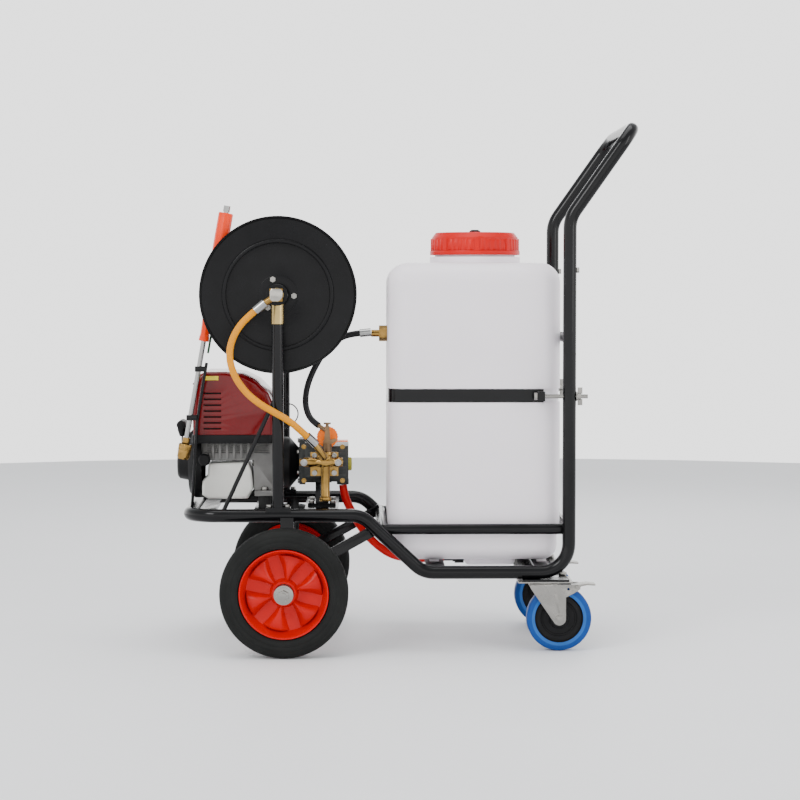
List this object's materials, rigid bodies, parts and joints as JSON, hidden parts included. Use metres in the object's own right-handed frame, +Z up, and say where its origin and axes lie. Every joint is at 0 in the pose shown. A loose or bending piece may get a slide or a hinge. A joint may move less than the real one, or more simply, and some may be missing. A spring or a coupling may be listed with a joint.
{
  "type": "wheeled sprayer cart",
  "caption": "Push cart with tube frame, liquid tank, small engine and pump, hose reel, clipped spray gun, solid front wheels and braked rear casters.",
  "frame": {"origin": "on the floor under the middle of the cart's bounding box", "axes": "+X towards the push handle, +Z up, +Y to the right-hand side of someone facing +X's opposite; the hose swivel side is -Y"},
  "size_m": [0.8944, 0.582, 1.0127],
  "materials": {
    "frame_paint": "glossy black powder coat",
    "tyre_rubber": "dull moulded rubber",
    "rim_plastic": "glossy red",
    "zinc_steel": "bright zinc plate",
    "chrome_steel": "bright chrome",
    "caster_blue": "blue elastic rubber",
    "caster_black": "black nylon",
    "tank_plastic": "translucent white polyethylene",
    "lid_plastic": "red moulded plastic",
    "black_plastic": "black moulded plastic",
    "cast_grey": "as-cast aluminium",
    "shroud_red": "glossy dark red",
    "fuel_white": "translucent white plastic",
    "mount_rubber": "black rubber",
    "pump_cast": "dark grey painted casting",
    "brass": "machined brass",
    "bronze": "dark cast bronze",
    "orange_plastic": "orange moulded plastic",
    "grip_orange": "orange grip plastic",
    "sight_yellow": "olive yellow plastic",
    "hose_yellow": "ribbed yellow-orange hose",
    "hose_black": "black rubber hose",
    "hose_red": "red hose",
    "basket_plastic": "black strainer plastic"
  },
  "bodies": {
    "root": {"side_rail_left": "frame_paint", "side_rail_right": "frame_paint", "front_bow": "frame_paint", "handle_tube": "frame_paint", "platform_frame": "frame_paint", "tank_cradle": "frame_paint", "reel_posts": "frame_paint", "equipment_brackets": "frame_paint", "fasteners": "zinc_steel", "wheel_axle": "chrome_steel", "caster_plates": "zinc_steel", "tank_shell": "tank_plastic", "filter_basket": "basket_plastic", "tank_strap": "frame_paint", "tank_outlet": "black_plastic", "engine_crankcase": "cast_grey", "engine_covers": "black_plastic", "engine_shroud": "shroud_red", "recoil_housing": "black_plastic", "fuel_tank": "fuel_white", "engine_mounts": "mount_rubber", "muffler": "zinc_steel", "pump_body": "pump_cast", "pump_manifold": "brass", "oil_sight_glass": "sight_yellow", "regulator_body": "bronze", "reel_collars": "zinc_steel", "feed_hose": "hose_yellow", "return_hose": "hose_black", "suction_hose": "hose_red", "engine_lead": "hose_black", "hose_ferrules": "chrome_steel", "brass_fittings": "brass"},
    "wheel_left": {"tyre_left": "tyre_rubber", "rim_left": "rim_plastic"},
    "wheel_right": {"tyre_right": "tyre_rubber", "rim_right": "rim_plastic"},
    "caster_left": {"caster_fork_left": "zinc_steel"},
    "caster_right": {"caster_fork_right": "zinc_steel"},
    "caster_wheel_left": {"caster_tread_left": "caster_blue", "caster_core_left": "caster_black"},
    "caster_wheel_right": {"caster_tread_right": "caster_blue", "caster_core_right": "caster_black"},
    "brake_pedal_left": {"brake_pedal_left": "zinc_steel"},
    "brake_pedal_right": {"brake_pedal_right": "zinc_steel"},
    "tank_lid": {"tank_lid": "lid_plastic", "lid_vent": "black_plastic"},
    "reel": {"reel_discs": "frame_paint", "reel_drum": "zinc_steel", "crank_arm": "frame_paint"},
    "crank_grip": {"crank_grip": "black_plastic"},
    "starter_grip": {"starter_grip": "black_plastic"},
    "drive_shaft": {"drive_shaft": "zinc_steel"},
    "fuel_cap": {"fuel_cap": "black_plastic"},
    "oil_filler_cap": {"oil_filler_cap": "black_plastic"},
    "regulator_knob": {"regulator_knob": "orange_plastic"},
    "spray_gun": {"gun_lance": "chrome_steel", "gun_front_grip": "grip_orange"},
    "gun_rear_grip": {"gun_rear_grip": "grip_orange"},
    "gun_nozzle": {"gun_nozzle": "brass"}
  },
  "joints": [
    {"name": "wheel_left_spin", "type": "hinge", "parent": "root", "child": "wheel_left", "pos_m": [-0.2274, -0.24, 0.1216], "axis": [0, 1, 0], "continuous": true},
    {"name": "caster_left_swivel", "type": "hinge", "parent": "root", "child": "caster_left", "pos_m": [0.27, -0.165, 0.125], "axis": [0, 0, 1], "continuous": true},
    {"name": "caster_wheel_left_spin", "type": "hinge", "parent": "caster_left", "child": "caster_wheel_left", "pos_m": [0.298, -0.165, 0.0625], "axis": [0, 1, 0], "continuous": true},
    {"name": "brake_pedal_left_press", "type": "hinge", "parent": "caster_left", "child": "brake_pedal_left", "pos_m": [0.331, -0.165, 0.124], "axis": [0, 1, 0], "range_deg": [0, 12]},
    {"name": "wheel_right_spin", "type": "hinge", "parent": "root", "child": "wheel_right", "pos_m": [-0.2274, 0.24, 0.1216], "axis": [0, 1, 0], "continuous": true},
    {"name": "caster_right_swivel", "type": "hinge", "parent": "root", "child": "caster_right", "pos_m": [0.27, 0.165, 0.125], "axis": [0, 0, 1], "continuous": true},
    {"name": "caster_wheel_right_spin", "type": "hinge", "parent": "caster_right", "child": "caster_wheel_right", "pos_m": [0.298, 0.165, 0.0625], "axis": [0, 1, 0], "continuous": true},
    {"name": "brake_pedal_right_press", "type": "hinge", "parent": "caster_right", "child": "brake_pedal_right", "pos_m": [0.331, 0.165, 0.124], "axis": [0, 1, 0], "range_deg": [0, 12]},
    {"name": "tank_lid_turn", "type": "hinge", "parent": "root", "child": "tank_lid", "pos_m": [0.144, 0, 0.78], "axis": [0, 0, 1], "continuous": true},
    {"name": "reel_spin", "type": "hinge", "parent": "root", "child": "reel", "pos_m": [-0.241, 0, 0.683], "axis": [0, 1, 0], "continuous": true},
    {"name": "crank_grip_spin", "type": "hinge", "parent": "reel", "child": "crank_grip", "pos_m": [-0.191, 0.25, 0.7696], "axis": [0, 1, 0], "continuous": true},
    {"name": "starter_grip_pull", "type": "slide", "parent": "root", "child": "starter_grip", "axis": [0, 0, 1], "range_m": [0, 0.04], "stiffness_N_per_m": 20},
    {"name": "drive_shaft_spin", "type": "hinge", "parent": "root", "child": "drive_shaft", "pos_m": [-0.25, 0, 0.35], "axis": [1, 0, 0], "continuous": true},
    {"name": "fuel_cap_turn", "type": "hinge", "parent": "root", "child": "fuel_cap", "pos_m": [-0.34, 0.07, 0.33], "axis": [0, 1, 0], "range_deg": [0, 120]},
    {"name": "oil_filler_cap_turn", "type": "hinge", "parent": "root", "child": "oil_filler_cap", "pos_m": [-0.388, -0.075, 0.361], "axis": [0, -1, 0], "range_deg": [0, 120]},
    {"name": "regulator_knob_turn", "type": "hinge", "parent": "root", "child": "regulator_knob", "pos_m": [-0.147, -0.115, 0.408], "axis": [0, 1, 0], "range_deg": [0, 270]},
    {"name": "spray_gun_unclip", "type": "slide", "parent": "root", "child": "spray_gun", "axis": [-1, 0, 0], "range_m": [0, 0.15]},
    {"name": "gun_rear_grip_twist", "type": "hinge", "parent": "spray_gun", "child": "gun_rear_grip", "pos_m": [-0.35159, -0.12, 0.78094], "axis": [-0.1765, 0, -0.9843], "range_deg": [0, 90]},
    {"name": "gun_nozzle_twist", "type": "hinge", "parent": "spray_gun", "child": "gun_nozzle", "pos_m": [-0.42308, -0.12, 0.3823], "axis": [-0.1765, 0, -0.9843], "range_deg": [0, 180]}
  ]
}
